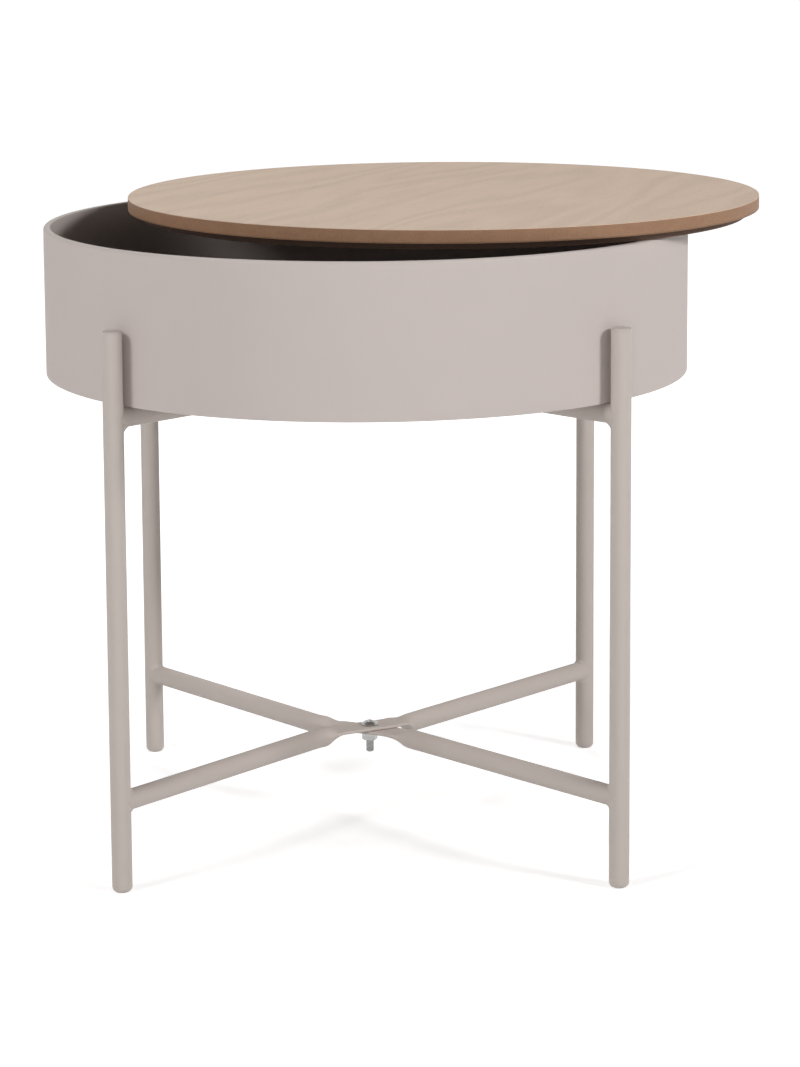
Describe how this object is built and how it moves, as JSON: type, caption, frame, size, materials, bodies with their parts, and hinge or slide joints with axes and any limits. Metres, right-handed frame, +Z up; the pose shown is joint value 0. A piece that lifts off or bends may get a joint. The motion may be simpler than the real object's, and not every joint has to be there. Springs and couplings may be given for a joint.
{
  "type": "lift top end table",
  "caption": "Round side table: a painted drum for storage on crossed steel tube legs, with a loose round wooden lid that lifts off and rests on the rim.",
  "frame": {"origin": "on the floor plane, on the upright axis of the drum, midway between the four feet", "axes": "+Z up; front towards -Y; frame a of the legs runs from front left (-X, -Y) to back right (+X, +Y), frame b the other way"},
  "size_m": [0.5165, 0.5095, 0.4547],
  "materials": {
    "drum_paint": "matt paint on moulded board, warm grey-beige",
    "drum_board": "sealed dark fibreboard",
    "frame_paint": "matt powder coat, warm grey-beige",
    "cap_plastic": "satin, coloured to match the frame",
    "bright_zinc": "bright zinc plate",
    "zinc_hidden": "zinc plate",
    "lid_edge": "sealed fibreboard edge",
    "oak_veneer": "matt lacquered pale oak veneer",
    "disc_board": "sealed dark fibreboard"
  },
  "bodies": {
    "base": {"cross_nut": "bright_zinc", "cross_screw": "bright_zinc", "drum_floor": "drum_board", "drum_screws": "zinc_hidden", "drum_wall": "drum_paint", "drum_washers": "zinc_hidden", "foot_cap_back_left": "cap_plastic", "foot_cap_back_right": "cap_plastic", "foot_cap_front_left": "cap_plastic", "foot_cap_front_right": "cap_plastic", "leg_back_left": "frame_paint", "leg_back_right": "frame_paint", "leg_front_left": "frame_paint", "leg_front_right": "frame_paint", "lower_rail_a": "frame_paint", "lower_rail_b": "frame_paint", "rail_bushes": "zinc_hidden", "top_cap_back_left": "cap_plastic", "top_cap_back_right": "cap_plastic", "top_cap_front_left": "cap_plastic", "top_cap_front_right": "cap_plastic", "upper_rail_a": "frame_paint", "upper_rail_b": "frame_paint", "weld_beads_a": "frame_paint", "weld_beads_b": "frame_paint"},
    "lid": {"lid_bottom_veneer": "oak_veneer", "lid_core": "lid_edge", "lid_top_veneer": "oak_veneer", "locating_disc": "disc_board", "locating_disc_screws": "zinc_hidden"}
  },
  "joints": [
    {"name": "lid_lift", "type": "slide", "parent": "base", "child": "lid", "axis": [0, 0, 1], "range_m": [0, 0.15]}
  ]
}
